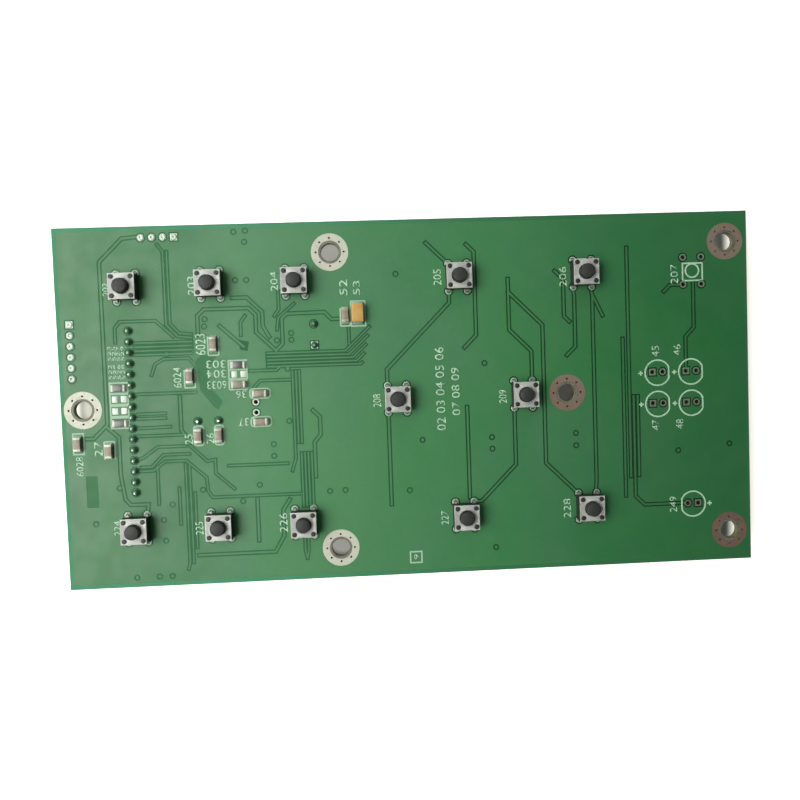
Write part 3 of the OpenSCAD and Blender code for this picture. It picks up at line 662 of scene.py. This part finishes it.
MERGED = 0.002 * MM
FLAT = math.radians(1.5)
SHARP = math.radians(40)
SMOOTH = math.radians(35)
TURNED_SMOOTH = math.radians(50)


def softened(node, name, body, finish, width, segments=2):
    """A copy of a CAD node with whole faces and rounded edges, which stands for it."""
    piece = new_piece(name, frame["nodes"][node].data.copy())
    only(piece)
    bpy.ops.object.mode_set(mode="EDIT")
    bpy.ops.mesh.select_all(action="SELECT")
    bpy.ops.mesh.remove_doubles(threshold=MERGED)
    bpy.ops.mesh.dissolve_limited(angle_limit=FLAT)
    bpy.ops.object.mode_set(mode="OBJECT")
    bevel = piece.modifiers.new("rounding", "BEVEL")
    bevel.width = width * MM
    bevel.segments = segments
    bevel.limit_method = "ANGLE"
    bevel.angle_limit = SHARP
    bpy.ops.object.modifier_apply(modifier=bevel.name)
    bpy.ops.object.shade_smooth_by_angle(angle=SMOOTH)
    paint(piece, finish)
    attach(piece, body)
    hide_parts(node)


def make_switches():
    for number in SWITCHES:
        softened(f"switch_base_{number}", f"base_{number}", "panel", "base_plastic", 0.07)
        softened(f"switch_cover_{number}", f"cover_{number}", "panel", "cover_steel", 0.06)
        softened(f"plunger_{number}", f"button_{number}", f"key_{number}", "plunger_plastic", 0.05)


def make_small_parts():
    softened("ceramic_capacitors", "capacitor_bodies", "panel", "ceramic", 0.08)
    softened("capacitor_ends", "capacitor_caps", "panel", "terminal_tin", 0.13, 3)
    softened("resistors", "resistor_bodies", "panel", "glaze", 0.05)
    softened("resistor_ends", "resistor_caps", "panel", "terminal_tin", 0.04)
    softened("smd_solder", "pad_solder", "panel", "bright_solder", 0.02)
    softened("tantalum_capacitor", "tantalum_body", "panel", "amber", 0.07)
    softened("header_strip", "pin_strip", "panel", "black_moulding", 0.08)
    softened("crystal_can", "crystal_shell", "panel", "can_steel", 0.15, 3)
    softened("buzzer", "buzzer_case", "panel", "black_moulding", 0.2, 3)
    softened("controller_chip", "chip_body", "panel", "chip_resin", 0.05)


# ---- solder joints, bare rims of the bolt holes ----

def turned(name, outline, steps=24):
    """A shape turned about z from (radius, height above the board) pairs in millimetres.

    An outline that ends where it starts makes a ring; any other is closed by flat caps.
    """
    radius, height = outline[0]
    bpy.ops.mesh.primitive_circle_add(vertices=steps, radius=radius * MM,
                                      location=(0, 0, height * MM))
    piece = bpy.context.object
    piece.name = name
    bpy.ops.object.mode_set(mode="EDIT")
    bpy.ops.mesh.select_all(action="SELECT")
    for wide, high in outline[1:]:
        step = (0, 0, (high - height) * MM)
        bpy.ops.mesh.extrude_edges_move(TRANSFORM_OT_translate={"value": step})
        bpy.ops.transform.resize(value=(wide / radius, wide / radius, 1))
        radius, height = wide, high
    bpy.ops.mesh.select_all(action="SELECT")
    if outline[0] == outline[-1]:
        bpy.ops.mesh.remove_doubles(threshold=0.001 * MM)
    else:
        bpy.ops.mesh.fill_holes(sides=0)
    bpy.ops.mesh.select_all(action="SELECT")
    bpy.ops.mesh.normals_make_consistent(inside=False)
    bpy.ops.object.mode_set(mode="OBJECT")
    bpy.ops.object.shade_smooth_by_angle(angle=TURNED_SMOOTH)
    bpy.ops.object.transform_apply(location=True)
    return piece


def set_out(master, places, node=None):
    """One piece made of copies of a shape at places on the board."""
    bpy.ops.object.select_all(action="DESELECT")
    for x, y in places:
        copy = new_piece(master.name, master.data.copy())
        copy.location = spot(x, y)
        copy.select_set(True)
    bpy.context.view_layer.objects.active = copy
    bpy.ops.object.transform_apply(location=True)
    bpy.ops.object.join()
    name = master.name
    bpy.data.objects.remove(master)
    copy.name = name
    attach(copy, "panel")
    if node:
        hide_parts(node)


# Outlines of the turned shapes: radius and height in millimetres, from the underside up
PIN_JOINT = [
    (0.44, -1.68), (0.72, -1.65), (0.5, -1.64), (0.5, 0.04), (0.8, 0.05), (0.81, 0.1),
    (0.78, 0.26), (0.69, 0.44), (0.57, 0.62), (0.46, 0.8), (0.4, 0.95), (0.3, 1.0)]
HOLE_PLUG = [
    (0.3, -1.6), (0.48, -1.58), (0.5, 0.04), (0.76, 0.05), (0.76, 0.1), (0.68, 0.19),
    (0.48, 0.25), (0.3, 0.23), (0.2, 0.12), (0.12, 0.04)]
FOOT_JOINT = [
    (0.4, -2.65), (0.5, -2.6), (0.58, -2.15), (0.72, -1.66), (0.5, -1.65), (0.5, 0.04),
    (0.78, 0.05), (0.78, 0.1), (0.64, 0.16), (0.52, 0.15), (0.44, 0.08), (0.36, 0.1)]
BARE_RIM = [
    (2.12, -0.045), (2.68, -0.045), (2.68, -0.02), (2.5, -0.012), (2.2, -0.015), (2.12, -0.03),
    (2.12, -0.045)]
DARK_MIDDLE_RADIUS = 0.5 * MM


def make_joints():
    """The solder at the pins, in the spare holes and round the switches' feet."""
    joint = turned("header_joints", PIN_JOINT)
    paint(joint, "painted_reflection_solder")
    set_out(joint, HEADER + LEADS, "header_solder")
    plug = turned("hole_plugs", HOLE_PLUG)
    paint(plug, "bright_solder")
    set_out(plug, PLUGGED)
    joint = turned("switch_joints", FOOT_JOINT)
    paint(joint, "dull_solder")
    # The middle of each foot joint, round the leg, takes the dark solder with the painted
    # reflection.
    joint.data.materials.append(MATERIALS["painted_reflection_solder"])
    for face in joint.data.polygons:
        if face.center.z > 0 and face.center.xy.length < DARK_MIDDLE_RADIUS:
            face.material_index = 1
    across, along = SWITCH_FEET
    feet = [(x + a * across, y + b * along)
            for x, y in SWITCH_PLACES for a in (-1, 1) for b in (-1, 1)]
    set_out(joint, feet, "switch_solder")


def make_rims():
    """The bare laminate round each bolt hole."""
    rim = turned("hole_rims", BARE_RIM, 48)
    paint(rim, "bare_laminate")
    set_out(rim, BOLTS)


# ---- plain numbers of the print ----

INK_DEPTH = 0.05 * MM
# How much wider the strokes are drawn, in parts of the text's height
STROKE = 0.004
# Number, turn in degrees, and the box that it fills on the board: low x, high x, low y, high y
LABELS = [
    ("202", 90, 11.0, 12.6, 69.0, 72.0), ("203", 90, 30.7, 32.6, 68.6, 73.0),
    ("204", 90, 50.0, 51.8, 69.0, 73.5), ("205", 90, 88.6, 90.5, 69.2, 73.0),
    ("206", 90, 118.9, 120.7, 68.0, 72.7), ("207", 90, 146.1, 148.0, 67.8, 72.5),
    ("208", 90, 73.2, 75.1, 40.7, 43.8), ("209", 90, 103.5, 105.4, 40.5, 43.7),
    ("224", 90, 10.9, 12.5, 12.5, 16.0), ("225", 90, 29.9, 31.8, 11.9, 15.0),
    ("226", 90, 49.8, 51.7, 11.6, 16.2), ("227", 90, 88.6, 90.4, 11.7, 15.0),
    ("228", 90, 118.5, 120.3, 12.0, 16.7),
    ("52", 90, 66.2, 68.1, 67.5, 71.2), ("53", 90, 69.4, 71.1, 67.5, 70.8),
    ("6023", 90, 31.9, 34.3, 54.5, 59.5), ("6024", 90, 26.4, 28.3, 47.0, 51.8),
    ("25", 90, 28.4, 30.3, 33.5, 36.0), ("26", 90, 33.4, 35.3, 33.5, 36.0),
    ("27", 90, 7.3, 9.2, 31.5, 35.0), ("6028", 90, 2.9, 4.6, 27.0, 31.6),
    ("303", 180, 34.2, 38.8, 51.3, 53.2), ("304", 180, 34.2, 38.8, 49.0, 50.9),
    ("6033", 180, 34.2, 38.8, 46.4, 48.3), ("36", 180, 40.9, 43.3, 44.0, 45.9),
    ("37", 180, 41.2, 43.6, 37.4, 39.3),
    ("45", 90, 141.1, 143.0, 50.4, 53.0), ("46", 90, 146.5, 148.3, 50.5, 53.2),
    ("47", 90, 140.8, 142.7, 32.5, 35.0), ("48", 90, 146.8, 148.7, 32.6, 35.0),
    ("249", 90, 144.8, 146.6, 12.2, 16.1),
    ("02 03 04 05 06", 90, 88.3, 90.5, 34.5, 54.5), ("07 08 09", 90, 92.1, 94.1, 38.0, 49.5),
    ("522 523", 90, 11.5, 12.3, 49.5, 57.2), ("524 525", 90, 12.5, 13.3, 49.5, 57.2),
    ("526 527", 90, 13.5, 14.3, 49.5, 57.2), ("528 529", 90, 14.5, 15.3, 49.5, 57.2),
    ("9", 90, 81.7, 82.9, 3.5, 4.8),
]


def label(text, turn, low_x, high_x, low_y, high_y):
    """A flat number laid in its box on the board."""
    bpy.ops.object.text_add(location=(0, 0, 0), rotation=(0, 0, math.radians(turn)))
    piece = bpy.context.object
    piece.data.body = text
    piece.data.resolution_u = 3
    piece.data.offset = STROKE
    bpy.ops.object.convert(target="MESH")
    bpy.ops.object.transform_apply(rotation=True)
    places = [v.co for v in piece.data.vertices]
    low = [min(p[i] for p in places) for i in (0, 1)]
    high = [max(p[i] for p in places) for i in (0, 1)]
    wide = (high_x - low_x) * MM / (high[0] - low[0])
    tall = (high_y - low_y) * MM / (high[1] - low[1])
    piece.scale = (wide, tall, 1)
    piece.location = spot(low_x, low_y) - Vector((low[0] * wide, low[1] * tall, 0))
    bpy.ops.object.transform_apply(location=True, scale=True)
    return piece


def make_labels():
    """All the numbers, as one piece of raised ink."""
    pieces = [label(*entry) for entry in LABELS]
    for piece in pieces:
        piece.select_set(True)
    bpy.ops.object.join()
    numbers = bpy.context.object
    numbers.name = "part_numbers"
    depth = numbers.modifiers.new("depth", "SOLIDIFY")
    depth.thickness = INK_DEPTH
    depth.offset = 1
    bpy.ops.object.modifier_apply(modifier=depth.name)
    paint(numbers, "number_ink")
    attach(numbers, "panel")


make_camera()
make_lights()
make_world()
make_floor()
paint_nodes()
make_switches()
make_small_parts()
make_joints()
make_rims()
make_labels()
